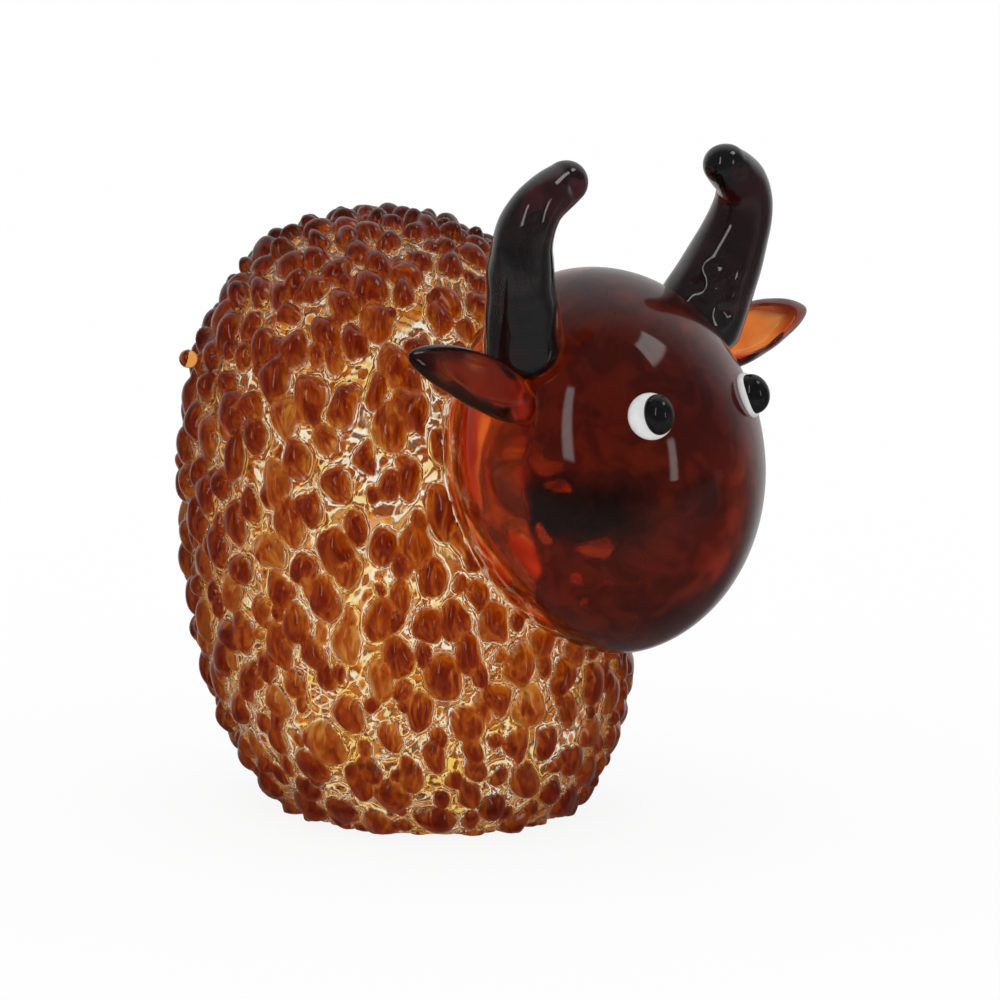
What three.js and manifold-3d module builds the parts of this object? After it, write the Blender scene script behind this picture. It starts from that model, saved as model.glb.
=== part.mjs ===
// A glass cow figurine: a clear egg-shaped body rolled in coarse amber grains, a dark head melted into its
// front, and horns, ears and eyes melted on as separate bits of glass.
// Millimetres, +Z up. The cow faces -Y, its left is +X, and the origin is the middle of the foot.
import * as THREE from "three";
import { ConvexHull } from "three/addons/math/ConvexHull.js";
import { mergeVertices } from "three/addons/utils/BufferGeometryUtils.js";
import Module from "manifold-3d";

const wasm = await Module();
wasm.setup();

// Body: an egg that leans back, squarer at the belly than at the back, with a flat foot
const BODY_LENGTH = 63;
const BODY_WIDTH = 59;
const BODY_HEIGHT = 83.8;
const BELLY_HEIGHT = 37.3;
const FOOT_LENGTH = 38;
const LEAN_BACK = 10;
const BACK_SQUARENESS = 2.3;
const BELLY_SQUARENESS = 2.56;

// Coat: melted grains that stand on the body as round nubs, closer and fuller on the back than at the foot
const NUB_COUNT = 570;
const NUB_CROWDING = 0.3;
const NUB_LEAST_WIDTH = 3;
const NUB_MOST_WIDTH = 5.2;
const NUB_TOP_HEIGHT = 2.3;
const NUB_FOOT_HEIGHT = 1.4;
const NUB_HEIGHT_SPREAD = 0.8;
const NUB_ROUNDNESS = 0.6;
const NUB_SHOULDER_SHARE = 0.72;
const NUB_STRAY = 0.07;
const COAT_FILM = 0.6;
const COAT_FOOT_GAP = 0.4;

// Head: an egg with a blunt muzzle, sunk into the front of the body and tipped forward at the chin
const HEAD_WIDTH = 45;
const HEAD_DEPTH = 45;
const HEAD_HEIGHT = 53.8;
const HEAD_CENTRE_HEIGHT = 54.6;
const HEAD_SINK = 11.6;
const HEAD_TIP = 2.3;
const CROWN_SQUARENESS = 2;
const MUZZLE_SQUARENESS = 1.9;

// Horns: tapering rods that rise from the temples, bow outwards and hook in and forward at the tip
const LEFT_HORN_BASE_DIAMETER = 14.6;
const RIGHT_HORN_BASE_DIAMETER = 12.4;
const HORN_TIP_DIAMETER = 6;
const HORN_BASE_ROUND = 5;
const HORN_ROOT_DEPTH = 3;
const HORN_ROOT_TURN = 82.5;
const HORN_ROOT_PITCH = 38.5;
const HORN_BOW_OUT = 4.9;
const HORN_BOW_FORWARD = 4.4;
const HORN_BOW_RISE = 15.8;
const HORN_BEND_OUT = 3.6;
const HORN_BEND_FORWARD = 5.8;
const HORN_BEND_RISE = 20.8;
const HORN_TIP_OUT = -1.2;
const HORN_TIP_FORWARD = 6.7;
const HORN_TIP_RISE = 24;

// Ears: pinched leaves with a dished front
const EAR_LENGTH = 24.2;
const EAR_WIDTH = 8.2;
const EAR_THICKNESS = 4.4;
const EAR_BELLY_SHARE = 0.4;
const EAR_FULLNESS = 0.5;
const EAR_ROOT_DEPTH = 3;
const EAR_ROOT_TURN = 76;
const LEFT_EAR_ROOT_PITCH = 31;
const RIGHT_EAR_ROOT_PITCH = 21.5;
const EAR_SWEEP = 4;
const EAR_ROLL = 18;
const LEFT_EAR_LIFT = 19;
const RIGHT_EAR_LIFT = 31;
const EAR_DROOP = 3.6;
const EAR_DISH_LENGTH = 13;
const EAR_DISH_WIDTH = 4.8;
const EAR_DISH_DEPTH = 1.4;

// Eyes: a black oval dome on a thick white dot, a little towards the nose from its middle
const EYE_DIAMETER = 6.5;
const EYE_THICKNESS = 1.6;
const EYE_TURN = 29;
const LEFT_EYE_PITCH = 21.5;
const RIGHT_EYE_PITCH = 20;
const PUPIL_WIDTH = 4.5;
const PUPIL_LENGTH = 5.6;
const PUPIL_HEIGHT = 2.4;
const PUPIL_SEAT = 0.9;
const PUPIL_TURN = 28;

// Bead: one grain that stuck to the outside of the coat, on the right of the rump
const BEAD_DIAMETER = 2.7;
const BEAD_SINK = 0.5;
const BEAD_TURN = -123;
const BEAD_PITCH = 31;

// Every bit of glass keeps this gap to the one that it is melted on
const SEAT_GAP = 0.3;

const BODY_SEGMENTS = 28;
const HEAD_SEGMENTS = 32;
const HORN_STEPS = 14;
const EAR_STEPS = 10;
const ROD_SEGMENTS = 14;
const BEAD_SEGMENTS = 12;

const GOLDEN_ANGLE = Math.PI * (3 - Math.sqrt(5));
const UP = new THREE.Vector3(0, 0, 1);

// Solids and directions

// A geometry as a solid that can be cut and joined.
function solidOf(geometry) {
  const bare = geometry.index ? geometry.toNonIndexed() : geometry.clone();
  for (const name of Object.keys(bare.attributes)) {
    if (name !== "position") bare.deleteAttribute(name);
  }
  const merged = mergeVertices(bare);
  const vertProperties = merged.attributes.position.array;
  const triVerts = new Uint32Array(merged.index.array);
  return new wasm.Manifold(new wasm.Mesh({ numProp: 3, vertProperties, triVerts }));
}

// A solid's surface as a geometry.
function geometryOf(solid) {
  const mesh = solid.getMesh();
  const geometry = new THREE.BufferGeometry();
  geometry.setAttribute("position", new THREE.BufferAttribute(mesh.vertProperties, 3));
  geometry.setIndex(new THREE.BufferAttribute(mesh.triVerts, 1));
  geometry.computeVertexNormals();
  return geometry;
}

// A unit sphere with its poles on Z, whose every vertex is moved by shape(direction).
function shapedSphere(segments, shape) {
  const sphere = new THREE.SphereGeometry(1, segments, segments / 2).rotateX(Math.PI / 2);
  const place = sphere.attributes.position;
  const direction = new THREE.Vector3();
  for (let i = 0; i < place.count; i++) {
    const point = shape(direction.fromBufferAttribute(place, i).normalize());
    place.setXYZ(i, point.x, point.y, point.z);
  }
  return sphere;
}

// A ball squashed to a height along an axis, with its middle on a point and its length upright.
function dotSolid(middle, axis, width, length, height) {
  const half = new THREE.Vector3(width / 2, length / 2, height);
  const across = new THREE.Vector3().crossVectors(UP, axis).normalize();
  const upright = new THREE.Vector3().crossVectors(axis, across);
  const turn = new THREE.Matrix4().makeBasis(across, upright, axis);
  const shape = (direction) => half.clone().multiply(direction).applyMatrix4(turn).add(middle);
  return solidOf(shapedSphere(BEAD_SEGMENTS, shape));
}

// The direction at a turn from straight ahead towards the cow's left and a pitch above level, in degrees.
function facing(turn, pitch) {
  const a = THREE.MathUtils.degToRad(turn);
  const b = THREE.MathUtils.degToRad(pitch);
  return new THREE.Vector3(Math.sin(a) * Math.cos(b), -Math.cos(a) * Math.cos(b), Math.sin(b));
}

// How far a direction is stretched from a round ball to one with a squared profile.
function squared(direction, squareness) {
  const flat = Math.hypot(direction.x, direction.y);
  return (flat ** squareness + Math.abs(direction.z) ** squareness) ** (-1 / squareness);
}

// A number from 0 to 1 that looks random but is the same on every run.
function scatter(seed) {
  const value = Math.sin(seed * 12.9898 + 4.1414) * 43758.5453;
  return value - Math.floor(value);
}

// Sections along a path, closed at both ends by a point.
// Each station has a middle and two half-axes as vectors, with across x up pointing along the path.
function loft(stations, tail, nose) {
  const points = [tail];
  for (const { middle, across, up } of stations) {
    for (let k = 0; k < ROD_SEGMENTS; k++) {
      const angle = (2 * Math.PI * k) / ROD_SEGMENTS;
      const point = middle.clone().addScaledVector(across, Math.cos(angle));
      points.push(point.addScaledVector(up, Math.sin(angle)));
    }
  }
  points.push(nose);
  const ring = (row, k) => 1 + row * ROD_SEGMENTS + (k % ROD_SEGMENTS);
  const lastRow = stations.length - 1;
  const lastPoint = points.length - 1;
  const faces = [];
  for (let k = 0; k < ROD_SEGMENTS; k++) {
    faces.push(0, ring(0, k + 1), ring(0, k));
    for (let row = 0; row < lastRow; row++) {
      faces.push(ring(row, k), ring(row, k + 1), ring(row + 1, k + 1));
      faces.push(ring(row, k), ring(row + 1, k + 1), ring(row + 1, k));
    }
    faces.push(ring(lastRow, k), ring(lastRow, k + 1), lastPoint);
  }
  return new THREE.BufferGeometry().setFromPoints(points).setIndex(faces);
}

// Body

const CROWN_REACH = BODY_HEIGHT - BELLY_HEIGHT;
const FOOT_SHARE = FOOT_LENGTH / BODY_LENGTH;
const KEEL_REACH = BELLY_HEIGHT / (1 - FOOT_SHARE ** BELLY_SQUARENESS) ** (1 / BELLY_SQUARENESS);

// How far back the body's axis lies at a height.
function leanAt(height) {
  return (LEAN_BACK * height) / BODY_HEIGHT;
}

// The point of the body's egg in a direction, with the egg grown outwards by grow.
function eggPoint(direction, grow) {
  const stretch = squared(direction, direction.z > 0 ? BACK_SQUARENESS : BELLY_SQUARENESS);
  const reach = direction.z > 0 ? CROWN_REACH : KEEL_REACH;
  const x = direction.x * stretch * (BODY_WIDTH / 2 + grow);
  const y = direction.y * stretch * (BODY_LENGTH / 2 + grow);
  const z = BELLY_HEIGHT + direction.z * stretch * (reach + grow);
  return new THREE.Vector3(x, y + leanAt(z), z);
}

function eggSolid(grow) {
  return solidOf(shapedSphere(BODY_SEGMENTS, (direction) => eggPoint(direction, grow)));
}

// The front of the egg at a height above the belly.
function eggFront(height) {
  const level = (height - BELLY_HEIGHT) / CROWN_REACH;
  const flat = (1 - level ** BACK_SQUARENESS) ** (1 / BACK_SQUARENESS);
  return leanAt(height) - (flat * BODY_LENGTH) / 2;
}

// Everything that lies lower than a level.
function groundBelow(level) {
  const size = 2 * (BODY_LENGTH + BODY_WIDTH + BODY_HEIGHT);
  return solidOf(new THREE.BoxGeometry(size, size, size).translate(0, 0, level - size / 2));
}

// Coat

// How high a share of all nubs reaches on a ball, where their number falls evenly from crown to foot.
function nubRise(share) {
  const left = (2 - NUB_CROWDING) / 4 - share;
  return (Math.sqrt(1 - 4 * NUB_CROWDING * left) - 1) / NUB_CROWDING;
}

// The nubs lie on a spiral that turns by the golden angle, and each strays a little from its place on it.
// On the flanks the tall egg stretches them upwards, as grains that ran while they were soft.
const nubs = Array.from({ length: NUB_COUNT }, (_, i) => {
  const share = (i + 0.5) / NUB_COUNT;
  const rise = nubRise(share);
  const flat = Math.sqrt(1 - rise * rise);
  const angle = i * GOLDEN_ANGLE;
  const draws = [0, 1, 2, 3, 4].map((k) => scatter(k * NUB_COUNT + i));
  const direction = new THREE.Vector3(flat * Math.cos(angle), flat * Math.sin(angle), rise);
  const stray = new THREE.Vector3(draws[0], draws[1], draws[2]).subScalar(0.5);
  direction.addScaledVector(stray, NUB_STRAY).normalize();
  const usualHeight = THREE.MathUtils.lerp(NUB_FOOT_HEIGHT, NUB_TOP_HEIGHT, share);
  return {
    direction,
    height: usualHeight + NUB_HEIGHT_SPREAD * (draws[3] - 0.5),
    width: THREE.MathUtils.lerp(NUB_LEAST_WIDTH, NUB_MOST_WIDTH, draws[4]),
  };
});
const nubAt = new Map(nubs.map((nub) => [nub.direction, nub]));

// The hull of the nubs' directions joins each nub to its neighbours, three around each valley.
const nubHull = new ConvexHull().setFromPoints(nubs.map((nub) => nub.direction));

function edgesOf(face) {
  return [face.edge, face.edge.next, face.edge.next.next];
}

// The outside of the coat, grown by grow: each nub is a dome with a peak, a ring of shoulders at its own
// width, and valleys that it shares with its neighbours.
function coatSolid(grow) {
  const floor = SEAT_GAP + COAT_FILM + grow;
  const shoulderLift = (1 - NUB_SHOULDER_SHARE ** 2) ** NUB_ROUNDNESS;
  const points = [];
  const place = (direction, height) => points.push(eggPoint(direction, floor + height)) - 1;
  const peaks = new Map(nubs.map((nub) => [nub, place(nub.direction, nub.height)]));
  const valleys = new Map();
  for (const face of nubHull.faces) {
    const around = edgesOf(face).map((edge) => nubAt.get(edge.tail().point));
    const middle = new THREE.Vector3();
    around.forEach((nub) => middle.add(nub.direction));
    middle.normalize();
    const shoulders = new Map();
    for (const nub of around) {
      const spread = Math.min(1, nub.width / BODY_LENGTH / nub.direction.distanceTo(middle));
      const direction = nub.direction.clone().lerp(middle, NUB_SHOULDER_SHARE * spread).normalize();
      shoulders.set(nub, place(direction, nub.height * shoulderLift));
    }
    valleys.set(face, { bottom: place(middle, 0), shoulders });
  }
  const faces = [];
  for (const face of nubHull.faces) {
    for (const edge of edgesOf(face)) {
      const nub = nubAt.get(edge.tail().point);
      const right = valleys.get(edge.twin.face);
      const left = valleys.get(face);
      const rightShoulder = right.shoulders.get(nub);
      const leftShoulder = left.shoulders.get(nub);
      faces.push(peaks.get(nub), rightShoulder, leftShoulder);
      faces.push(rightShoulder, right.bottom, left.bottom);
      faces.push(rightShoulder, left.bottom, leftShoulder);
    }
  }
  return solidOf(new THREE.BufferGeometry().setFromPoints(points).setIndex(faces));
}

// Head

const headBack = eggFront(HEAD_CENTRE_HEIGHT) + HEAD_SINK;
const headCentre = new THREE.Vector3(0, headBack - HEAD_DEPTH / 2, HEAD_CENTRE_HEIGHT);

// The point of the head in a direction, with the head grown outwards by grow.
function headPoint(direction, grow) {
  const stretch = squared(direction, direction.z > 0 ? CROWN_SQUARENESS : MUZZLE_SQUARENESS);
  const half = new THREE.Vector3(HEAD_WIDTH, HEAD_DEPTH, HEAD_HEIGHT).divideScalar(2).addScalar(grow);
  const point = half.multiply(direction).multiplyScalar(stretch);
  point.y += (HEAD_TIP * point.z) / (HEAD_HEIGHT / 2);
  return point.add(headCentre);
}

function headSolid(grow) {
  return solidOf(shapedSphere(HEAD_SEGMENTS, (direction) => headPoint(direction, grow)));
}

// The way out of the head's surface in a direction.
function headNormal(direction) {
  return direction.clone().divide(new THREE.Vector3(HEAD_WIDTH, HEAD_DEPTH, HEAD_HEIGHT)).normalize();
}

// Horns

// A horn, made thicker all round by grow. Its base is rounded and sunk into the head.
function hornSolid(side, baseDiameter, grow) {
  const foot = headPoint(facing(side * HORN_ROOT_TURN, HORN_ROOT_PITCH), 0);
  const reach = (out, forward, rise) => foot.clone().add(new THREE.Vector3(side * out, -forward, rise));
  const bow = reach(HORN_BOW_OUT, HORN_BOW_FORWARD, HORN_BOW_RISE);
  const inside = foot.clone().addScaledVector(bow.clone().sub(foot).normalize(), -HORN_ROOT_DEPTH);
  const spine = new THREE.CatmullRomCurve3([
    inside,
    foot,
    bow,
    reach(HORN_BEND_OUT, HORN_BEND_FORWARD, HORN_BEND_RISE),
    reach(HORN_TIP_OUT, HORN_TIP_FORWARD, HORN_TIP_RISE),
  ]);
  const { normals, binormals, tangents } = spine.computeFrenetFrames(HORN_STEPS, false);
  const station = (i, middle, radius) => ({
    middle,
    across: normals[i].clone().multiplyScalar(radius),
    up: binormals[i].clone().multiplyScalar(radius),
  });
  const stations = [];
  for (let i = 1; i <= HORN_STEPS; i++) {
    const share = i / HORN_STEPS;
    const roundLeft = Math.max(0, 1 - (share * spine.getLength()) / HORN_BASE_ROUND);
    const diameter = THREE.MathUtils.lerp(baseDiameter, HORN_TIP_DIAMETER, share);
    const radius = (diameter / 2) * Math.sqrt(1 - roundLeft ** 2);
    stations.push(station(i, spine.getPointAt(share), radius + grow));
  }
  const end = spine.getPointAt(1);
  const tipRadius = HORN_TIP_DIAMETER / 2 + grow;
  const along = (distance) => end.clone().addScaledVector(tangents[HORN_STEPS], distance);
  for (const angle of [Math.PI / 6, Math.PI / 3]) {
    stations.push(station(HORN_STEPS, along(tipRadius * Math.sin(angle)), tipRadius * Math.cos(angle)));
  }
  return solidOf(loft(stations, inside.addScaledVector(tangents[0], -grow), along(tipRadius)));
}

// Ears

function earSolid(side, rootPitch, lift) {
  const foot = headPoint(facing(side * EAR_ROOT_TURN, rootPitch), -EAR_ROOT_DEPTH);
  const out = facing(side * (90 + EAR_SWEEP), lift);
  const roll = new THREE.Quaternion().setFromAxisAngle(out, THREE.MathUtils.degToRad(-side * EAR_ROLL));
  const across = new THREE.Vector3().crossVectors(UP, out).normalize().applyQuaternion(roll);
  const up = new THREE.Vector3().crossVectors(out, across);
  const length = EAR_ROOT_DEPTH + EAR_LENGTH;
  const axisPoint = (share) =>
    foot.clone().addScaledVector(out, share * length).addScaledVector(UP, -EAR_DROOP * share ** 2);
  const bellyPower = Math.log(1 / 2) / Math.log(EAR_BELLY_SHARE);
  const stations = [];
  for (let i = 1; i < EAR_STEPS; i++) {
    const share = (1 - Math.cos((Math.PI * i) / EAR_STEPS)) / 2;
    const swell = Math.sin(Math.PI * share ** bellyPower) ** EAR_FULLNESS;
    stations.push({
      middle: axisPoint(share),
      across: across.clone().multiplyScalar((swell * EAR_THICKNESS) / 2),
      up: up.clone().multiplyScalar((swell * EAR_WIDTH) / 2),
    });
  }
  const leaf = loft(stations, foot, axisPoint(1));
  const dishMiddle = axisPoint(1 / 2).addScaledVector(across, (-side * EAR_THICKNESS) / 2);
  const dish = shapedSphere(BEAD_SEGMENTS, (direction) =>
    dishMiddle
      .clone()
      .addScaledVector(out, (direction.x * EAR_DISH_LENGTH) / 2)
      .addScaledVector(across, direction.y * EAR_DISH_DEPTH)
      .addScaledVector(up, (direction.z * EAR_DISH_WIDTH) / 2),
  );
  return solidOf(leaf).subtract(solidOf(dish));
}

// Eyes

function eyeSolid(side, pitch, grow) {
  const direction = facing(side * EYE_TURN, pitch);
  const diameter = EYE_DIAMETER + 2 * grow;
  return dotSolid(headPoint(direction, 0), headNormal(direction), diameter, diameter, EYE_THICKNESS + grow);
}

function pupilSolid(side, pitch) {
  const direction = facing(side * PUPIL_TURN, pitch);
  const middle = headPoint(direction, PUPIL_SEAT);
  return dotSolid(middle, headNormal(direction), PUPIL_WIDTH, PUPIL_LENGTH, PUPIL_HEIGHT);
}

// Bead

// The bead sits on the peak of the nub that is nearest to its place.
function beadSolid() {
  const wanted = facing(BEAD_TURN, BEAD_PITCH);
  const nearer = (a, b) => (a.direction.dot(wanted) > b.direction.dot(wanted) ? a : b);
  const { direction, height } = nubs.reduce(nearer);
  const middle = eggPoint(direction, SEAT_GAP + COAT_FILM + height + BEAD_DIAMETER / 2 - BEAD_SINK);
  const shape = (way) => middle.clone().addScaledVector(way, BEAD_DIAMETER / 2);
  return solidOf(shapedSphere(BEAD_SEGMENTS, shape));
}

// Assembly

function glass(color, roughness) {
  return new THREE.MeshStandardMaterial({ color, roughness, metalness: 0 });
}

const clearGlass = glass(0xe9dcb8, 0.05);
const amberGlass = glass(0x8a3d12, 0.08);
const oxbloodGlass = glass(0x3a0d0a, 0.04);
const blackGlass = glass(0x17110f, 0.04);
const honeyGlass = glass(0xa8500f, 0.05);
const whiteGlass = glass(0xe8e8ea, 0.15);
const pupilGlass = glass(0x0a0a0a, 0.05);

const cow = new THREE.Group();

function addPiece(name, solid, material) {
  const mesh = new THREE.Mesh(geometryOf(solid), material);
  mesh.name = name;
  cow.add(mesh);
}

const headSeat = headSolid(SEAT_GAP);
const core = eggSolid(0).subtract(groundBelow(0)).subtract(headSeat);
const coatOutside = coatSolid(0).subtract(groundBelow(COAT_FOOT_GAP));
const coat = coatOutside.subtract(eggSolid(SEAT_GAP)).subtract(headSeat);

addPiece("body_core", core, clearGlass);
addPiece("frit_coat", coat, amberGlass);
addPiece("rump_bead", beadSolid().subtract(coatSolid(SEAT_GAP)), honeyGlass);
addPiece("head", headSolid(0), oxbloodGlass);

function addSide(name, side, hornDiameter, earRootPitch, earLift, eyePitch) {
  const horn = hornSolid(side, hornDiameter, 0).subtract(headSeat);
  const hornSeat = hornSolid(side, hornDiameter, SEAT_GAP);
  const ear = earSolid(side, earRootPitch, earLift).subtract(headSeat).subtract(hornSeat);
  const eye = eyeSolid(side, eyePitch, 0).subtract(headSeat);
  const pupil = pupilSolid(side, eyePitch).subtract(eyeSolid(side, eyePitch, SEAT_GAP)).subtract(headSeat);
  addPiece(`${name}_horn`, horn, blackGlass);
  addPiece(`${name}_ear`, ear, honeyGlass);
  addPiece(`${name}_eye_white`, eye, whiteGlass);
  addPiece(`${name}_pupil`, pupil, pupilGlass);
}

addSide("left", 1, LEFT_HORN_BASE_DIAMETER, LEFT_EAR_ROOT_PITCH, LEFT_EAR_LIFT, LEFT_EYE_PITCH);
addSide("right", -1, RIGHT_HORN_BASE_DIAMETER, RIGHT_EAR_ROOT_PITCH, RIGHT_EAR_LIFT, RIGHT_EYE_PITCH);

export default cow;
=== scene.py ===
import math

import bpy
import numpy as np
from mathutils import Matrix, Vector


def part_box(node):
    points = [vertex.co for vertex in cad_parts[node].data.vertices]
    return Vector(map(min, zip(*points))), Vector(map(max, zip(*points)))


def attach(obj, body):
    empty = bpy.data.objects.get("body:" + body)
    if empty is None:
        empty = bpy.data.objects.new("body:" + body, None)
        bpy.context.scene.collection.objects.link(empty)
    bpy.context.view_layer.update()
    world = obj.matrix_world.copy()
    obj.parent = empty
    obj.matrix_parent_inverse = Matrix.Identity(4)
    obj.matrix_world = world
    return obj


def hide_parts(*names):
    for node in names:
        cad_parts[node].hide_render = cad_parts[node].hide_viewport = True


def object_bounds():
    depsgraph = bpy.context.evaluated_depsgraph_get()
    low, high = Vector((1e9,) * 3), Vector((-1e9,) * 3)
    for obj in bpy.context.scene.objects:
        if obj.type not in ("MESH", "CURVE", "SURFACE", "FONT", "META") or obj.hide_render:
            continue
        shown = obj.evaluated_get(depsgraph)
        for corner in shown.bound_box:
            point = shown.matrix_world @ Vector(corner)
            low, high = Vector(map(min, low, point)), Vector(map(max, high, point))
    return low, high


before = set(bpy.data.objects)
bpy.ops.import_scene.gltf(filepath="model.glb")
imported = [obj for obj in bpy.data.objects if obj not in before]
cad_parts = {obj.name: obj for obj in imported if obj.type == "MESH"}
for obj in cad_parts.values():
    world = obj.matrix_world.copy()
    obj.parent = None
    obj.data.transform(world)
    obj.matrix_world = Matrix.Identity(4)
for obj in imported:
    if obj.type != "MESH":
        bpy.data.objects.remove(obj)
cad_low, cad_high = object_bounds()

# View
# A long lens stands off the cow's right shoulder and a little above it, as it did for the photograph.
# The middle of the square picture lies beside the body, towards the head.
mm = 0.001
VIEW_TURN, VIEW_RISE = -45.56, 9.81
VIEW_DISTANCE = 700 * mm
VIEW_TARGET = np.array([0, 0, 44]) * mm
VIEW_ASIDE, VIEW_ABOVE = 10.29 * mm, 0.84 * mm
FIELD_WIDTH = 144.93 * mm
GLASS_BOUNCES, MIRROR_BOUNCES = 32, 12


def facing(turn, rise):
    """The direction at a turn from straight ahead to the cow's left and a rise above level, in degrees."""
    a, b = np.radians(turn), np.radians(rise)
    return np.array([np.sin(a) * np.cos(b), -np.cos(a) * np.cos(b), np.sin(b)])


towards_camera = facing(VIEW_TURN, VIEW_RISE)
sideways = facing(VIEW_TURN + 90, 0)
upwards = np.cross(towards_camera, sideways)
camera_place = VIEW_TARGET + VIEW_DISTANCE * towards_camera
picture_middle = VIEW_TARGET + VIEW_ASIDE * sideways + VIEW_ABOVE * upwards

camera = bpy.data.objects.new("camera", bpy.data.cameras.new("camera"))
camera.data.lens = camera.data.sensor_width * VIEW_DISTANCE / FIELD_WIDTH
camera.location = camera_place
camera.rotation_euler = Vector(picture_middle - camera_place).to_track_quat("-Z", "Y").to_euler()
bpy.context.collection.objects.link(camera)

scene = bpy.context.scene
scene.camera = camera
scene.view_settings.view_transform = "Standard"
scene.cycles.max_bounces = GLASS_BOUNCES
scene.cycles.transmission_bounces = GLASS_BOUNCES
scene.cycles.glossy_bounces = MIRROR_BOUNCES
scene.cycles.transparent_max_bounces = GLASS_BOUNCES

# Floor and studio
# A wide white floor in a white tent. What the glass mirrors is a dimmer tent behind it, a dark room in front
# and three soft boxes there: a broad one high on the right and a tall strip on each side of the camera.
FLOOR_HALF = 3.0
FLOOR_WHITE = (0.96, 0.96, 0.96, 1)
TENT_WHITE = (1, 1, 1, 1)
FLOOR_GLOW_SEEN = 0.88
FOOT_SHADE, FOOT_SHADE_EDGE = 0.12, (0.014, 0.03)
SWEEP_EDGE_THROUGH = (-0.05, 0.04)
ROOM_MIRRORED, ROOM_THROUGH, ROOM_FLOOR_THROUGH = 0.09, 0.1, 0.2
TENT_MIRRORED, TENT_THROUGH = 0.45, 1.0
APRON_MIRRORED, APRON_START, APRON_END = 0.12, (0.03, 0.12), (0.32, 0.06)
TENT_EDGE_THROUGH, TENT_EDGE_MIRRORED = (-0.1, -0.45), (-0.2, -0.8)
TENT_TILT = -25
SOFT_BOXES = {
    "broad": dict(turn=78, rise=57, half_turn=17, half_rise=7, glow=2.2),
    "left strip": dict(turn=-27, rise=26, half_turn=3.8, half_rise=18, glow=2.2),
    "right strip": dict(turn=48, rise=8, half_turn=2.8, half_rise=12, glow=2.2),
}
SOFT_EDGE = 1.5
ahead, room_way = facing(VIEW_TURN, 0), facing(VIEW_TURN, TENT_TILT)


def add_node(tree, kind, inputs=(), **settings):
    """A node with its settings. An input given as a socket is linked, and any other is a plain value."""
    node = tree.nodes.new(kind)
    for name, value in settings.items():
        setattr(node, name, value)
    for key, value in dict(inputs).items():
        if isinstance(value, bpy.types.NodeSocket):
            tree.links.new(value, node.inputs[key])
        else:
            node.inputs[key].default_value = value
    return node


def maths(tree, operation, *values):
    """The result socket of a Math node."""
    return add_node(tree, "ShaderNodeMath", enumerate(values), operation=operation).outputs[0]


def step(tree, value, low, high, start=0.0, end=1.0):
    """A value eased from start, where it is at low, to end, where it is at high."""
    inputs = {"Value": value, "From Min": low, "From Max": high, "To Min": start, "To Max": end}
    return add_node(tree, "ShaderNodeMapRange", inputs, interpolation_type="SMOOTHSTEP").outputs["Result"]


def mixed(tree, share, first, second, blend="MIX"):
    """A colour that goes with a share from the first to the second, or to what a blend makes of the two.

    Of the many sockets of a Mix node, those for colours are the inputs 6 and 7 and the output 2.
    """
    inputs = {0: share, 6: first, 7: second}
    return add_node(tree, "ShaderNodeMix", inputs, data_type="RGBA", blend_type=blend).outputs[2]


def new_material(name):
    """A material, its tree and its Principled node."""
    material = bpy.data.materials.new(name)
    material.use_nodes = True
    return material, material.node_tree, material.node_tree.nodes["Principled BSDF"]


def dot_with(tree, vector, fixed):
    """The length of a vector along a fixed direction."""
    node = add_node(tree, "ShaderNodeVectorMath", {0: vector, 1: tuple(fixed)}, operation="DOT_PRODUCT")
    return node.outputs["Value"]


floor_mesh = bpy.data.meshes.new("floor")
floor_corners = [(x * FLOOR_HALF, y * FLOOR_HALF, cad_low.z) for x, y in ((-1, -1), (1, -1), (1, 1), (-1, 1))]
floor_mesh.from_pydata(floor_corners, [], [(0, 1, 2, 3)])
floor = bpy.data.objects.new("floor", floor_mesh)
bpy.context.collection.objects.link(floor)
floor_paint, floor_tree, plain_shader = new_material("floor white")
floor_tree.nodes.remove(plain_shader)
floor_rays = add_node(floor_tree, "ShaderNodeLightPath").outputs
through = floor_rays["Is Transmission Ray"]
spot = add_node(floor_tree, "ShaderNodeNewGeometry").outputs["Position"]

# To the camera and through the glass the floor glows white, but for the dark place under the foot.
seen = maths(floor_tree, "MULTIPLY", floor_rays["Is Camera Ray"], FLOOR_GLOW_SEEN)
from_foot = add_node(floor_tree, "ShaderNodeVectorMath", {0: spot}, operation="LENGTH").outputs["Value"]
lit_below = step(floor_tree, from_foot, *FOOT_SHADE_EDGE, FOOT_SHADE, 1.0)
glow_share = maths(floor_tree, "MAXIMUM", seen, through)
glow_strength = maths(floor_tree, "MAXIMUM", floor_rays["Is Camera Ray"], lit_below)
matt = add_node(floor_tree, "ShaderNodeBsdfDiffuse", {"Color": FLOOR_WHITE}).outputs["BSDF"]
glow_inputs = {"Color": TENT_WHITE, "Strength": glow_strength}
glow = add_node(floor_tree, "ShaderNodeEmission", glow_inputs).outputs["Emission"]
white = add_node(floor_tree, "ShaderNodeMixShader", {0: glow_share, 1: matt, 2: glow}).outputs["Shader"]

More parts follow.
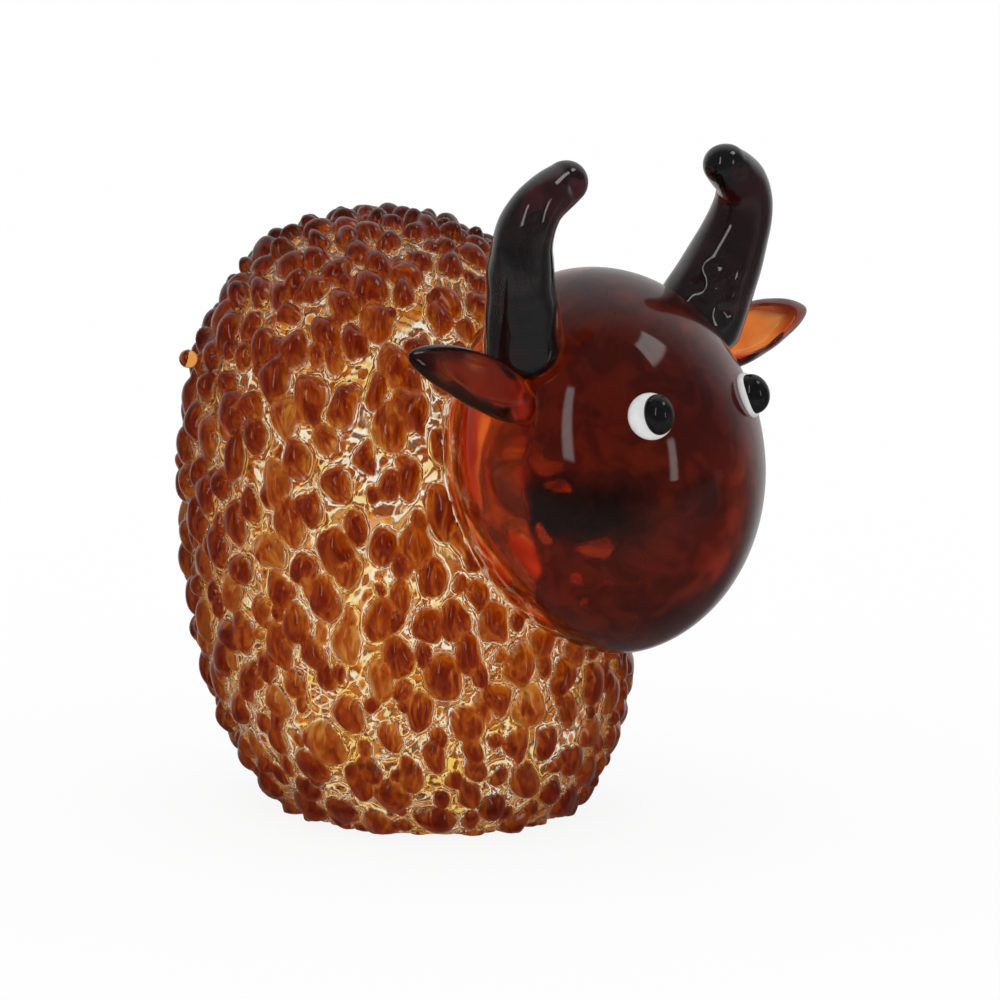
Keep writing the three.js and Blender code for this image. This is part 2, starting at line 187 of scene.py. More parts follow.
# Mirrored, it is as bright as the tent or the room over it, and a little brighter on an apron in front.
# Through the glass, the part of it in front of the cow is dim.
forward = dot_with(floor_tree, spot, ahead)
in_room = step(floor_tree, through, 0.0, 1.0, 1.0, step(floor_tree, forward, *SWEEP_EDGE_THROUGH))
apron = [step(floor_tree, forward, *edge) for edge in (APRON_START, APRON_END)]
apron_glow = maths(floor_tree, "MULTIPLY", maths(floor_tree, "MULTIPLY", *apron), APRON_MIRRORED)
spot_way = add_node(floor_tree, "ShaderNodeVectorMath", {0: spot}, operation="NORMALIZE").outputs["Vector"]
spot_into_room = dot_with(floor_tree, spot_way, room_way)
sweep_glow = step(floor_tree, spot_into_room, *TENT_EDGE_MIRRORED, ROOM_MIRRORED, TENT_MIRRORED)
mirrored_floor = maths(floor_tree, "ADD", sweep_glow, apron_glow)
dimmed = step(floor_tree, through, 0.0, 1.0, mirrored_floor, ROOM_FLOOR_THROUGH)
unlit = maths(floor_tree, "MULTIPLY", floor_rays["Is Glossy Ray"], in_room)
dim_inputs = {"Color": TENT_WHITE, "Strength": dimmed}
dim = add_node(floor_tree, "ShaderNodeEmission", dim_inputs).outputs["Emission"]
floor_mix = add_node(floor_tree, "ShaderNodeMixShader", {0: unlit, 1: white, 2: dim}).outputs["Shader"]
floor_tree.links.new(floor_mix, floor_tree.nodes["Material Output"].inputs["Surface"])
floor_mesh.materials.append(floor_paint)

# Tent, room and soft boxes are drawn on the world by how far a ray turns and rises from the camera's way.
world = bpy.data.worlds.new("studio")
scene.world = world
world.use_nodes = True
sky = world.node_tree
way = add_node(sky, "ShaderNodeTexCoord").outputs["Generated"]
turn_from_camera = maths(sky, "ARCTAN2", dot_with(sky, way, sideways), dot_with(sky, way, ahead))
rise = maths(sky, "ARCSINE", dot_with(sky, way, (0, 0, 1)))
sky_rays = add_node(sky, "ShaderNodeLightPath").outputs
into_room = dot_with(sky, way, room_way)
tents = [
    step(sky, into_room, *TENT_EDGE_MIRRORED, ROOM_MIRRORED, TENT_MIRRORED),
    step(sky, into_room, *TENT_EDGE_THROUGH, ROOM_THROUGH, TENT_THROUGH),
]
studio = step(sky, sky_rays["Is Transmission Ray"], 0.0, 1.0, *tents)
for box in SOFT_BOXES.values():
    off_turn = maths(sky, "ABSOLUTE", maths(sky, "SUBTRACT", turn_from_camera, math.radians(box["turn"])))
    off_rise = maths(sky, "ABSOLUTE", maths(sky, "SUBTRACT", rise, math.radians(box["rise"])))
    inside = [
        step(sky, off, math.radians(half + SOFT_EDGE), math.radians(half - SOFT_EDGE))
        for off, half in ((off_turn, box["half_turn"]), (off_rise, box["half_rise"]))
    ]
    box_glow = maths(sky, "MULTIPLY", maths(sky, "MULTIPLY", *inside), box["glow"])
    studio = maths(sky, "ADD", studio, box_glow)
by_glass = maths(sky, "MAXIMUM", sky_rays["Is Glossy Ray"], sky_rays["Is Transmission Ray"])
grey = add_node(sky, "ShaderNodeCombineColor", {"Red": studio, "Green": studio, "Blue": studio})
tent = mixed(sky, by_glass, TENT_WHITE, grey.outputs["Color"])
sky.links.new(tent, sky.nodes["Background"].inputs["Color"])

# Body
# A solid egg of clear, faintly straw-coloured glass with a flat foot, rolled while soft in coarse amber
# grains. The grains melted into round nubs, fused to the clear glass, so that both are one piece here.
core_high = np.array(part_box("body_core")[1])
HALF_WIDTH, BODY_HEIGHT = core_high[0], core_high[2]
HALF_LENGTH = 31.5 * mm
BELLY_HEIGHT = 37.3 * mm
FOOT_SHARE = 0.603
LEAN_BACK = 10 * mm
BACK_SQUARENESS, BELLY_SQUARENESS = 2.3, 2.56
COAT_FLOOR = 0.9 * mm
FOOT_GAP = 0.02 * mm
BODY_CELLS = 127
CROWN_REACH = BODY_HEIGHT - BELLY_HEIGHT
KEEL_REACH = BELLY_HEIGHT / (1 - FOOT_SHARE**BELLY_SQUARENESS) ** (1 / BELLY_SQUARENESS)

NUB_COUNT = 570
NUB_CROWDING = 0.3
NUB_STRAY = 0.07
NUB_WIDTHS = (3 * mm, 5.2 * mm)
NUB_FOOT_HEIGHT, NUB_TOP_HEIGHT, NUB_HEIGHT_SPREAD = 1.4 * mm, 2.3 * mm, 0.8 * mm
NUB_ROUNDNESS = 0.6
CRUMB_COUNT = 560
CRUMB_CROWDING = -0.5
CRUMB_STRAY = 0.1
CRUMB_WIDTHS = (1.7 * mm, 3.1 * mm)
CRUMB_HEIGHTS = (0.7 * mm, 1.4 * mm)
GRAIN_SEED = 11
GRAIN_WOBBLE, GRAIN_WOBBLE_LENGTH = 0.009, 0.13
GRAIN_OVAL = 1.1
FILM_RIPPLE, FILM_RIPPLE_LENGTH = 0.17 * mm, 2.6 * mm
GOLDEN_ANGLE = math.pi * (3 - math.sqrt(5))
SCATTER_STEP, SCATTER_SHIFT, SCATTER_SCALE = 12.9898, 4.1414, 43758.5453
GRAIN_BATCHES = 40

GLASS_IOR, GLOSS = 1.5, 0.02
CORD_DETAIL, CORD_TWIST, CORD_LOW, CORD_HIGH = 2.0, 0.9, 0.34, 0.66
STRAW_TINT, STRAW_DENSITY = (0.95, 0.78, 0.5), 8
FILM_CLEAR, FILM_GOLD = (1, 0.99, 0.95), (0.95, 0.66, 0.14)
FILM_FINENESS, FILM_EDGE = 170, (0.42, 0.64)
FILM_BUMP, FILM_BUMP_HEIGHT, FILM_BUMP_EDGE = 0.12, 0.25 * mm, (0.2, 0.0)
FILM_ROUGHNESS, GRAIN_ROUGHNESS = 0.12, 0.3
AMBER_STOPS = (
    (0.15, (0.75, 0.25, 0.015)),
    (0.4, (0.42, 0.042, 0.0005)),
    (0.65, (0.2, 0.009, 0.00005)),
    (1.0, (0.08, 0.0014, 0.00001)),
)
RAGGED_FINENESS, RAGGED_DETAIL, RAGGED_SHARE = 700, 2.0, 0.16
GRAIN_EDGE, GRAIN_SLOPE, GRAIN_RIM_LOAD = (-0.02, 0.15), (0.05, 0.7), 0.5
STREAK_FINENESS, STREAK_DETAIL, STREAK_TWIST, STREAK_SQUEEZE = 520, 2.0, 1.6, 0.35
STREAK_EDGE, STREAK_LOADS = (0.35, 0.65), (0.68, 1.25)
PALE_DRAW, PALE_LOAD = (1.0, 1.5), 0.35
PALE_USUAL, PALE_BELT, PALE_FADE, PALE_BACK = 1.05, -0.15, 0.45, 0.2

head_low, head_high = (np.array(corner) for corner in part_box("head"))
HEAD_CENTRE, HEAD_HALF = (head_low + head_high) / 2, (head_high - head_low) / 2
HEAD_TIP = 2.3 * mm
MUZZLE_SQUARENESS = 1.9
SEAT_GAP = 0.1 * mm
SEAT_HALVINGS = 24


def unit(vectors):
    """Vectors, along the last axis, brought to a length of 1."""
    return vectors / np.linalg.norm(vectors, axis=-1, keepdims=True)


def cube_ball(cells):
    """Unit directions and faces of a ball: six square grids of a cube, blown up, with their edges merged.

    A grid line at a share s of the cube's side goes to tan((2 s - 1) * 45 degrees), which evens the cells.
    """
    row, column = np.mgrid[0 : cells + 1, 0 : cells + 1]
    corner = np.arange((cells + 1) ** 2).reshape(cells + 1, cells + 1)
    ring = np.stack([corner[:-1, :-1], corner[1:, :-1], corner[1:, 1:], corner[:-1, 1:]], -1).reshape(-1, 4)
    lattice, faces = [], []
    for axis in range(3):
        for level in (0, cells):
            patch = np.empty((cells + 1, cells + 1, 3), int)
            patch[..., axis] = level
            patch[..., (axis + 1) % 3] = row
            patch[..., (axis + 2) % 3] = column
            faces.append((ring if level else ring[:, ::-1]) + len(lattice) * corner.size)
            lattice.append(patch.reshape(-1, 3))
    shared, place = np.unique(np.concatenate(lattice), axis=0, return_inverse=True)
    cube = np.tan((2 * shared / cells - 1) * math.pi / 4)
    return unit(cube), place.ravel()[np.concatenate(faces)]


def squared(direction, squareness):
    """How far a direction is stretched from a round ball to one with a squared profile."""
    flat = np.hypot(direction[:, 0], direction[:, 1])
    return (flat**squareness + np.abs(direction[:, 2]) ** squareness) ** (-1 / squareness)


def egg(direction, grow):
    """The body in a direction: half-sizes times the squared direction, leaning back in step with height."""
    upper = direction[:, 2] > 0
    stretch = np.where(upper, squared(direction, BACK_SQUARENESS), squared(direction, BELLY_SQUARENESS))
    reach = np.where(upper, CROWN_REACH, KEEL_REACH)
    half = np.stack([np.full_like(reach, HALF_WIDTH), np.full_like(reach, HALF_LENGTH), reach], 1)
    point = direction * stretch[:, None] * (half + np.asarray(grow)[..., None])
    point[:, 2] += BELLY_HEIGHT
    point[:, 1] += LEAN_BACK * point[:, 2] / BODY_HEIGHT
    return point


def waves(points, length, rng, count=9):
    """Smooth unevenness of about -1 to 1: the sum of sine waves of one length in random directions."""
    ways = rng.normal(size=(3, count))
    ways *= 2 * math.pi / length / np.linalg.norm(ways, axis=0)
    return np.sin(points @ ways + rng.uniform(0, 2 * math.pi, count)).sum(1) / math.sqrt(count)


def scatter(seed):
    """A number from 0 to 1 that looks random but is the same on every run: the fraction of a large sine."""
    return np.sin(seed * SCATTER_STEP + SCATTER_SHIFT) * SCATTER_SCALE % 1.0


def spiral(count, crowding, stray):
    """Directions on a golden-angle spiral over the ball, each strayed a little.

    How many there are at a rise, the sine of the height, goes with 1 + crowding * rise.
    """
    index = np.arange(count)
    left = (2 - crowding) / 4 - (index + 0.5) / count
    rise = (np.sqrt(1 - 4 * crowding * left) - 1) / crowding
    flat = np.sqrt(1 - rise**2)
    middle = np.stack([flat * np.cos(index * GOLDEN_ANGLE), flat * np.sin(index * GOLDEN_ANGLE), rise], 1)
    middle += stray * (np.stack([scatter(k * count + index) for k in range(3)], 1) - 0.5)
    return unit(middle)


def scattered_grains():
    """All grains as directions, radii and heights: the nubs, and smaller crumbs strewn between them."""
    index = np.arange(NUB_COUNT)
    usual = np.interp((index + 0.5) / NUB_COUNT, (0, 1), (NUB_FOOT_HEIGHT, NUB_TOP_HEIGHT))
    nub_height = usual + NUB_HEIGHT_SPREAD * (scatter(3 * NUB_COUNT + index) - 0.5)
    nub_width = np.interp(scatter(4 * NUB_COUNT + index), (0, 1), NUB_WIDTHS)
    crumb = np.arange(CRUMB_COUNT)
    crumb_height = np.interp(scatter(3 * CRUMB_COUNT + crumb), (0, 1), CRUMB_HEIGHTS)
    crumb_width = np.interp(scatter(4 * CRUMB_COUNT + crumb), (0, 1), CRUMB_WIDTHS)
    places = [spiral(NUB_COUNT, NUB_CROWDING, NUB_STRAY), spiral(CRUMB_COUNT, CRUMB_CROWDING, CRUMB_STRAY)]
    width = np.concatenate([nub_width, crumb_width])
    return np.concatenate(places), width / (2 * HALF_LENGTH), np.concatenate([nub_height, crumb_height])


def grain_field(direction, middle, radius, height, rng):
    """The coat over the ball: in each direction the highest dome, the nearest grain and the depth inside it.

    A dome is height * (1 - t^2)^roundness, where t is the chord from the grain's middle over its radius, made
    longer along one random tangent of each grain, so that the grain is oval.
    """
    tangent = unit(np.cross(middle, rng.normal(size=middle.shape)))
    narrow = GRAIN_OVAL * rng.uniform(0, 1, len(middle)) ** 2
    rise, depth, owner = [], [], []
    for part in np.array_split(direction, GRAIN_BATCHES):
        chord = np.clip(2 - 2 * part @ middle.T, 0, None) + narrow * (part @ tangent.T) ** 2
        reach = chord / radius**2
        dome = height * np.clip(1 - reach, 0, None) ** NUB_ROUNDNESS
        nearest = reach.argmin(1)
        rise.append(dome.max(1))
        owner.append(nearest)
        depth.append(1 - np.sqrt(np.take_along_axis(reach, nearest[:, None], 1)[:, 0]))
    return np.concatenate(rise), np.concatenate(depth), np.concatenate(owner)


def head_level(points, grow):
    """How far out points lie from the head's middle, where the head's surface, grown by grow, lies at 1."""
    local = points - HEAD_CENTRE
    local[:, 1] -= HEAD_TIP * local[:, 2] / HEAD_HALF[2]
    local /= HEAD_HALF + grow
    squareness = np.where(local[:, 2] > 0, 2.0, MUZZLE_SQUARENESS)
    flat = np.hypot(local[:, 0], local[:, 1])
    return (flat**squareness + np.abs(local[:, 2]) ** squareness) ** (1 / squareness)


def seated(points):
    """Points drawn back towards the belly's middle to the head's surface, where they lie inside the head.

    The place on the way is found by halving the way again and again.
    """
    belly = np.array([[0, LEAN_BACK * BELLY_HEIGHT / BODY_HEIGHT, BELLY_HEIGHT]])
    covered = head_level(points, SEAT_GAP) < 1
    clear, sunk = np.zeros((len(points), 1)), np.ones((len(points), 1))
    for _ in range(SEAT_HALVINGS):
        half = (clear + sunk) / 2
        inside = head_level(belly + half * (points - belly), SEAT_GAP)[:, None] < 1
        clear, sunk = np.where(inside, clear, half), np.where(inside, half, sunk)
    return np.where(covered[:, None], belly + clear * (points - belly), points), covered


def new_piece(name, points, faces, material, **values):
    """A smooth mesh object at the origin, with one number per point for each named value."""
    mesh = bpy.data.meshes.new(name)
    mesh.from_pydata(points, [], faces)
    for key, numbers in values.items():
        mesh.attributes.new(key, "FLOAT", "POINT").data.foreach_set("value", np.asarray(numbers, np.float32))
    mesh.shade_smooth()
    mesh.materials.append(material)
    piece = bpy.data.objects.new(name, mesh)
    bpy.context.collection.objects.link(piece)
    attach(piece, "root")
    return piece


def new_glass(name, tint, density, roughness=GLOSS):
    """A clear glass that swallows light on its way: the material, its tree and its Principled node."""
    material, tree, shader = new_material(name)
    shader.inputs["Transmission Weight"].default_value = 1.0
    shader.inputs["IOR"].default_value = GLASS_IOR
    shader.inputs["Roughness"].default_value = roughness
    inner = add_node(tree, "ShaderNodeVolumeAbsorption", {"Color": (*tint, 1), "Density": density})
    tree.links.new(inner.outputs["Volume"], tree.nodes["Material Output"].inputs["Volume"])
    return material, tree, shader


def glaze(shader):
    """Lays a smooth clear coat over a glass."""
    shader.inputs["Coat Weight"].default_value = 1.0
    shader.inputs["Coat Roughness"].default_value = GLOSS


def polish(shader):
    """Leaves the mirroring to a smooth coat, so that a rough glass blurs only what is seen through it."""
    shader.inputs["Specular Tint"].default_value = (0, 0, 0, 1)
    glaze(shader)


def attribute(tree, name):
    """The socket of a number that the mesh holds for each point."""
    return add_node(tree, "ShaderNodeAttribute", attribute_name=name).outputs["Fac"]


def ramp(tree, share, *stops):
    """A colour read from stops of (place, colour) at a share."""
    node = add_node(tree, "ShaderNodeValToRGB", {"Fac": share})
    elements = node.color_ramp.elements
    while len(elements) < len(stops):
        elements.new(1.0)
    for element, (place, colour) in zip(elements, stops):
        element.position = place
        element.color = (*colour, 1)
    return node.outputs["Color"]


def new_group(name, numbers, colours=()):
    """A shader group that gives a colour, with inputs for numbers and colours: its tree and these inputs."""
    group = bpy.data.node_groups.new(name, "ShaderNodeTree")
    for kind, keys in (("NodeSocketFloat", numbers), ("NodeSocketColor", colours)):
        for key in keys:
            group.interface.new_socket(key, in_out="INPUT", socket_type=kind)
    group.interface.new_socket("Color", in_out="OUTPUT", socket_type="NodeSocketColor")
    return group, add_node(group, "NodeGroupInput").outputs


def colour_drift():
    """A shader group: a colour that drifts between two others through the glass, in soft cords."""
    group, given = new_group("colour drift", ("Fineness", "Low", "High"), ("First", "Second"))
    place = add_node(group, "ShaderNodeTexCoord").outputs["Object"]
    cords = {"Vector": place, "Scale": given["Fineness"], "Detail": CORD_DETAIL, "Distortion": CORD_TWIST}
    noise = add_node(group, "ShaderNodeTexNoise", cords).outputs["Fac"]
    share = step(group, noise, given["Low"], given["High"])
    result = mixed(group, share, given["First"], given["Second"])
    add_node(group, "NodeGroupOutput", {"Color": result})
    return group


drift_group = colour_drift()


def drift(tree, fineness, first, second, low=CORD_LOW, high=CORD_HIGH):
    """The colour that the drift group gives between two colours."""
    inputs = {"Fineness": fineness, "Low": low, "High": high, "First": (*first, 1), "Second": (*second, 1)}
    return add_node(tree, "ShaderNodeGroup", inputs, node_tree=drift_group).outputs["Color"]


def coat_glass():
    """Clear glass with a golden film, and amber where a grain lies, deepest where the grain is thick."""
    material, tree, shader = new_glass("amber coat on clear glass", STRAW_TINT, STRAW_DENSITY)
    place = add_node(tree, "ShaderNodeTexCoord").outputs["Object"]
    rags = {"Vector": place, "Scale": RAGGED_FINENESS, "Detail": RAGGED_DETAIL}
    ragged = add_node(tree, "ShaderNodeTexNoise", rags).outputs["Fac"]
    depth = maths(tree, "ADD", attribute(tree, "depth"), maths(tree, "MULTIPLY", ragged, RAGGED_SHARE))
    grain = step(tree, depth, *GRAIN_EDGE)
    thick = step(tree, depth, *GRAIN_SLOPE, GRAIN_RIM_LOAD, 1.0)
    squeezed = {"Vector": place, "Scale": (1, 1, STREAK_SQUEEZE)}
    tall = add_node(tree, "ShaderNodeMapping", squeezed).outputs["Vector"]
    streaks = {"Vector": tall, "Scale": STREAK_FINENESS, "Detail": STREAK_DETAIL, "Distortion": STREAK_TWIST}
    ripple = add_node(tree, "ShaderNodeTexNoise", streaks).outputs["Fac"]
    streak = step(tree, ripple, *STREAK_EDGE, *STREAK_LOADS)
    depth_of_colour = step(tree, attribute(tree, "shade"), 0.0, 1.0, 1.0, PALE_LOAD)
    load = maths(tree, "MULTIPLY", maths(tree, "MULTIPLY", thick, streak), depth_of_colour)
    amber = ramp(tree, load, *AMBER_STOPS)
    film = drift(tree, FILM_FINENESS, FILM_CLEAR, FILM_GOLD, *FILM_EDGE)
    tree.links.new(mixed(tree, grain, film, amber), shader.inputs["Base Color"])
    height = maths(tree, "MULTIPLY", ripple, step(tree, depth, *FILM_BUMP_EDGE))
    uneven = {"Height": height, "Strength": FILM_BUMP, "Distance": FILM_BUMP_HEIGHT}
    bump = add_node(tree, "ShaderNodeBump", uneven)
    tree.links.new(bump.outputs["Normal"], shader.inputs["Normal"])
    roughness = step(tree, grain, 0.0, 1.0, FILM_ROUGHNESS, GRAIN_ROUGHNESS)
    tree.links.new(roughness, shader.inputs["Roughness"])
    polish(shader)
    tree.links.new(attribute(tree, "open"), shader.inputs["Alpha"])
    return material


grain_draws = np.random.default_rng(GRAIN_SEED)
ball, ball_faces = cube_ball(BODY_CELLS)
wobble = np.stack([waves(ball, GRAIN_WOBBLE_LENGTH, grain_draws) for _ in range(3)], 1)
grains = scattered_grains()
strayed = unit(ball + GRAIN_WOBBLE * wobble)
coat_rise, coat_depth, coat_owner = grain_field(strayed, *grains, grain_draws)
film_wave = waves(egg(ball, 0.0), FILM_RIPPLE_LENGTH, grain_draws)
film_height = COAT_FLOOR + FILM_RIPPLE * film_wave * (coat_depth < 0)
body_points, under_head = seated(egg(ball, film_height + coat_rise))
body_points[:, 2] = np.maximum(body_points[:, 2], cad_low.z + FOOT_GAP)
grain_ways = grains[0]
# Grains are paler in a belt a little below the middle and towards the back, and darker towards the top and
# the foot.
pale_share = PALE_USUAL - PALE_FADE * np.abs(grain_ways[:, 2] - PALE_BELT) + PALE_BACK * grain_ways[:, 1]
grain_shade = np.clip(grain_draws.beta(*PALE_DRAW, len(grain_ways)) * pale_share, 0, 1)
body = new_piece(
    "body",
    body_points,
    ball_faces,
    coat_glass(),
    depth=coat_depth,
    shade=grain_shade[coat_owner],
    open=1.0 - under_head,
)
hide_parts("body_core", "frit_coat")

# Rump bead
# One lighter grain that stuck to the outside of the coat on the right of the rump, a small ball of honey
# glass fused to the nub under it.
bead_low, bead_high = (np.array(corner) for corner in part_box("rump_bead"))
BEAD_CELLS = 14
BEAD_TINT, BEAD_DENSITY = (0.9, 0.5, 0.1), 500
HONEY_DARK, HONEY_LIGHT, HONEY_FINENESS = (0.85, 0.55, 0.19), (0.97, 0.74, 0.3), 120
HONEY_SMOKE, HONEY_SMOKE_EDGE = (0.2, 0.1, 0.1, 1), (0.62, 0.95)


def honey_cords():
    """A shader group: faint cords of two honey colours, which go over to smoke at the tip of a leaf."""
    group, given = new_group("honey cords", ("Along",))
    cords = drift(group, HONEY_FINENESS, HONEY_DARK, HONEY_LIGHT)
    result = mixed(group, step(group, given["Along"], *HONEY_SMOKE_EDGE), cords, HONEY_SMOKE)
    add_node(group, "NodeGroupOutput", {"Color": result})
    return group


honey_group = honey_cords()


def honey_glass(name, tint, density, roughness=GLOSS):
    """Honey-brown glass that is deeper where it is thicker, with faint cords of colour and a smoky tip."""
    material, tree, shader = new_glass(name, tint, density, roughness)
    polish(shader)
    inputs = {"Along": attribute(tree, "along")}
    cords = add_node(tree, "ShaderNodeGroup", inputs, node_tree=honey_group)
    tree.links.new(cords.outputs["Color"], shader.inputs["Base Color"])
    return material


bead_ball, bead_faces = cube_ball(BEAD_CELLS)
bead_points = (bead_low + bead_high) / 2 + bead_ball * (bead_high - bead_low) / 2
bead_honey = honey_glass("bead honey glass", BEAD_TINT, BEAD_DENSITY)
bead = new_piece("rump_bead_glass", bead_points, bead_faces, bead_honey, along=np.zeros(len(bead_points)))
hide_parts("rump_bead")

# Head
# An egg of dark red-brown glass, pressed hot into the front of the body, so that no surface is left between
# the two. It is clear by the seam, partly as a clear lip and partly as painted light where the body shows
# through, and smoky beyond. On the cheek a dark band is painted shade, and a few clear red flakes are
# painted light, where bright light shows through the head.
HEAD_CELLS, HEAD_SEED = 110, 5
HEAD_WAVE, HEAD_WAVE_LENGTH = 0.06 * mm, 17 * mm
SMOKE_TURN, SMOKE_CHIN_TURN, SMOKE_CHIN = 75.5, 13, (-24, -48)
# By the seam the head is clear: partly a clear lip, partly painted light where the body shows through.
SMOKE_USUAL, SMOKE_FAR, SMOKE_SEAM, PAINTED_LIGHT_FLAKE_SMOKE = 0.42, 0.375, 0.0, 0.1
# The band is painted shade: smoke raised to full on the cheek, between two pitches and past a turn.
PAINTED_SHADE_BAND = dict(turn=(-22, -46), low=(-20, -12), high=(7, -4))
SMOKE_PATCH = dict(turn=-11, pitch=-4, half_turn=16, half_pitch=9, share=0.4, edge=(1.0, 0.3))
SMOKE_WOBBLE, SMOKE_WOBBLE_LENGTH = 1.0, 0.14
SMOKE_EDGE, SMOKE_FAR_EDGE = (-3.5, 2.5), (-20, -55)
# Clear flakes of painted light, where bright light shows through the head: turn, pitch, half turn and half
# pitch, in degrees.
PAINTED_LIGHT_FLAKES = (
    (-66.5, 5.5, 6, 2.6),
    (-64.7, -0.7, 5.7, 1.3),
    (-71.7, -15.2, 2.6, 2.7),
    (-53.5, -18.8, 6.3, 2.6),
    (-62, -30.2, 2.5, 3),
    (-50, -31.2, 1.4, 1),
    (-59.9, -38.5, 2.4, 2.8),
)
PAINTED_LIGHT_FLAKE_SQUARENESS, PAINTED_LIGHT_FLAKE_EDGE = 3, (1.15, 0.85)
OXBLOOD_TINT, OXBLOOD_DENSITY = (0.93, 0.53, 0.1), 105
SMOKE_STOPS = (
    (0.0, (0.95, 0.85, 0.78)),
    (0.1, (0.8, 0.45, 0.48)),
    (0.25, (0.31, 0.15, 0.19)),
    (0.5, (0.073, 0.031, 0.045)),
    (0.75, (0.016, 0.009, 0.012)),
    (1.0, (0.002, 0.0015, 0.0017)),
)
MOTTLE_DARK, MOTTLE_LIGHT, MOTTLE_FINENESS = (0.34, 0.3, 0.33), (1, 1, 1), 190
MOTTLE_EDGE, MOTTLE_SMOKE = (0.4, 0.64), (0.0, 0.25)
HAZE_SMOKE, HAZE_ROUGHNESS = (0.1, 0.5), (0.05, 0.32)


def head_point(direction, grow):
    """The head in a direction: half-sizes times the squared direction, tipped forward in step with depth."""
    stretch = np.where(direction[:, 2] > 0, 1.0, squared(direction, MUZZLE_SQUARENESS))
    point = direction * stretch[:, None] * (HEAD_HALF + np.asarray(grow)[..., None])
    point[:, 1] += HEAD_TIP * point[:, 2] / HEAD_HALF[2]
    return point + HEAD_CENTRE


def off_egg(points, grow):
    """How far points lie outside the body's egg, grown by grow, as a share of its size there."""
    across = points[:, 0] / (HALF_WIDTH + grow)
    along = (points[:, 1] - LEAN_BACK * points[:, 2] / BODY_HEIGHT) / (HALF_LENGTH + grow)
    above = points[:, 2] - BELLY_HEIGHT
    level = np.abs(above) / (np.where(above > 0, CROWN_REACH, KEEL_REACH) + grow)
    squareness = np.where(above > 0, BACK_SQUARENESS, BELLY_SQUARENESS)
    return (np.hypot(across, along) ** squareness + level**squareness) ** (1 / squareness) - 1


def eased(value, low, high):
    """A number that goes softly from 0, where the value is at low, to 1, where it is at high."""
    share = np.clip((value - low) / (high - low), 0, 1)
    return share * share * (3 - 2 * share)


def head_smoke(direction, rng):
    """How smoky the head is in a direction, from 0 to 1, as a function of its turn and pitch, with painted
    light and shade in it.

    It eases from clear at the seam, partly painted light, to its usual value, then to full in the band of
    painted shade on the cheek, part of the way to full in the patch on the front, and back to thin smoke in
    each flake of painted light.
    """
    turn = np.degrees(np.arctan2(direction[:, 0], -direction[:, 1]))
    pitch = np.degrees(np.arcsin(np.clip(direction[:, 2], -1, 1)))
    turn = turn + SMOKE_WOBBLE * waves(direction, SMOKE_WOBBLE_LENGTH, rng)
    pitch = pitch + SMOKE_WOBBLE * waves(direction, SMOKE_WOBBLE_LENGTH, rng)
    edge = SMOKE_TURN + SMOKE_CHIN_TURN * eased(pitch, *SMOKE_CHIN)
    usual = SMOKE_FAR + (SMOKE_USUAL - SMOKE_FAR) * eased(turn, *SMOKE_FAR_EDGE)
    off_seam = eased(edge - np.abs(turn), *SMOKE_EDGE)
    smoke = SMOKE_SEAM + (usual - SMOKE_SEAM) * off_seam
    # The band on the cheek is painted shade.
    low, high = eased(pitch, *PAINTED_SHADE_BAND["low"]), eased(pitch, *PAINTED_SHADE_BAND["high"])
    painted_shade_band = low * high * eased(turn, *PAINTED_SHADE_BAND["turn"]) * off_seam
    smoke = smoke + (1 - smoke) * painted_shade_band
    beside = (turn - SMOKE_PATCH["turn"]) / SMOKE_PATCH["half_turn"]
    over = (pitch - SMOKE_PATCH["pitch"]) / SMOKE_PATCH["half_pitch"]
    patch = SMOKE_PATCH["share"] * eased(np.hypot(beside, over), *SMOKE_PATCH["edge"])
    smoke = smoke + (1 - smoke) * patch
    # Each flake is painted light: the smoke is thinned there.
    for light_flake_turn, light_flake_pitch, half_turn, half_pitch in PAINTED_LIGHT_FLAKES:
        aside, above = np.abs(turn - light_flake_turn) / half_turn, np.abs(pitch - light_flake_pitch) / half_pitch
        off_light_flake = (aside**PAINTED_LIGHT_FLAKE_SQUARENESS + above**PAINTED_LIGHT_FLAKE_SQUARENESS) ** (1 / PAINTED_LIGHT_FLAKE_SQUARENESS)
        clear = eased(off_light_flake, *PAINTED_LIGHT_FLAKE_EDGE)
        smoke = smoke + (PAINTED_LIGHT_FLAKE_SMOKE - smoke) * clear
    return smoke


def oxblood_glass():
    """Dark red-brown glass, tinted by smoke at its surface, with painted shade in the cheek's band and
    painted light in the flakes and by the seam, and hazy and mottled where the smoke is thick.
    """
    material, tree, shader = new_glass("oxblood glass", OXBLOOD_TINT, OXBLOOD_DENSITY)
    # Besides smoke, this holds painted shade in the cheek's band and painted light in the flakes and by the
    # seam.
    smoke = attribute(tree, "smoke")
    smoky = ramp(tree, smoke, *SMOKE_STOPS)
    mottles = drift(tree, MOTTLE_FINENESS, MOTTLE_DARK, MOTTLE_LIGHT, *MOTTLE_EDGE)
    colour = mixed(tree, step(tree, smoke, *MOTTLE_SMOKE), smoky, mottles, "MULTIPLY")
    tree.links.new(colour, shader.inputs["Base Color"])
    tree.links.new(step(tree, smoke, *HAZE_SMOKE, *HAZE_ROUGHNESS), shader.inputs["Roughness"])
    polish(shader)
    tree.links.new(attribute(tree, "open"), shader.inputs["Alpha"])
    return material


head_draws = np.random.default_rng(HEAD_SEED)
head_ball, head_faces = cube_ball(HEAD_CELLS)
head_points = head_point(head_ball, 0.0)
head_points = head_point(head_ball, HEAD_WAVE * waves(head_points, HEAD_WAVE_LENGTH, head_draws))
head = new_piece(
    "head_glass",
    head_points,
    head_faces,
    oxblood_glass(),
    open=off_egg(head_points, COAT_FLOOR) > 0,
    smoke=head_smoke(head_ball, head_draws),
)
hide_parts("head")

